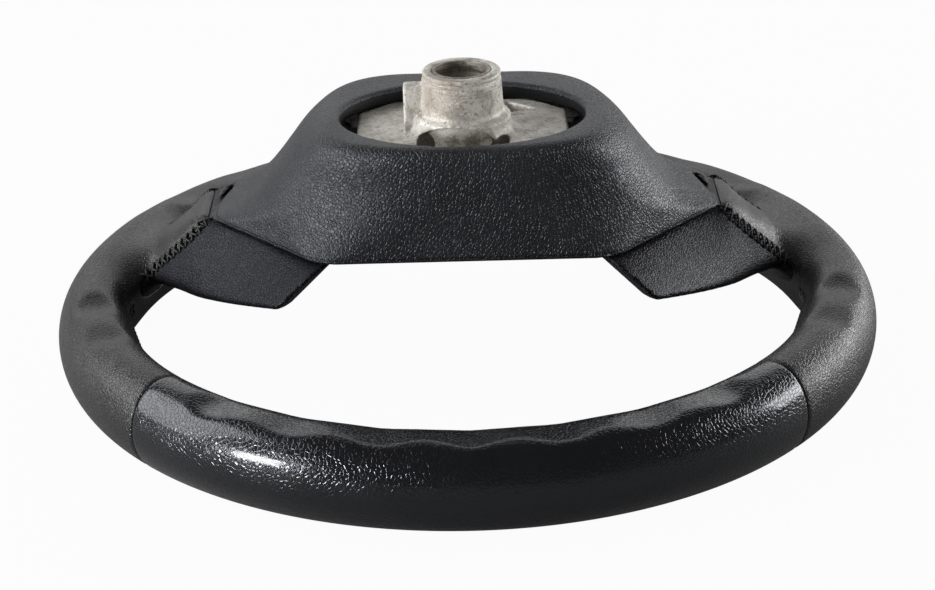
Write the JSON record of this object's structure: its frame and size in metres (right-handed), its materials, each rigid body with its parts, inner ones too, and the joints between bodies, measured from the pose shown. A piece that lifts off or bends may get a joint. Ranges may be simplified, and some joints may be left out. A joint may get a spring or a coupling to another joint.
{
  "type": "car steering wheel",
  "caption": "Leather-wrapped car steering wheel with finger dents, spokes that blend into the rim, a moulded rear cover and a cast alloy hub with a bore for the column.",
  "frame": {"origin": "on the wheel's axis, in the plane that the front of the rim rests on", "axes": "+Z along the wheel's axis towards the steering column, +Y towards six o'clock, +X to the right as seen from behind with twelve o'clock nearest"},
  "size_m": [0.37, 0.37, 0.1347],
  "materials": {
    "worn_leather": "glossy with wear",
    "rim_leather": "satin",
    "spoke_skin": "fine grain, satin",
    "foam": "matte",
    "hub_alloy": "as cast, scuffed",
    "ring_steel": "plain",
    "bush_steel": "machined",
    "cover_plastic": "leather grain, satin",
    "screw_steel": "zinc plated"
  },
  "bodies": {
    "root": {"leather_top_panel": "worn_leather", "leather_left_panel": "rim_leather", "leather_right_panel": "rim_leather", "left_spoke_skin": "spoke_skin", "right_spoke_skin": "spoke_skin", "foam_body": "foam", "hub_casting": "hub_alloy", "rim_core_ring": "ring_steel", "hub_spline_bush": "bush_steel", "rear_cover": "cover_plastic", "rear_cover_screws": "screw_steel"}
  },
  "joints": []
}
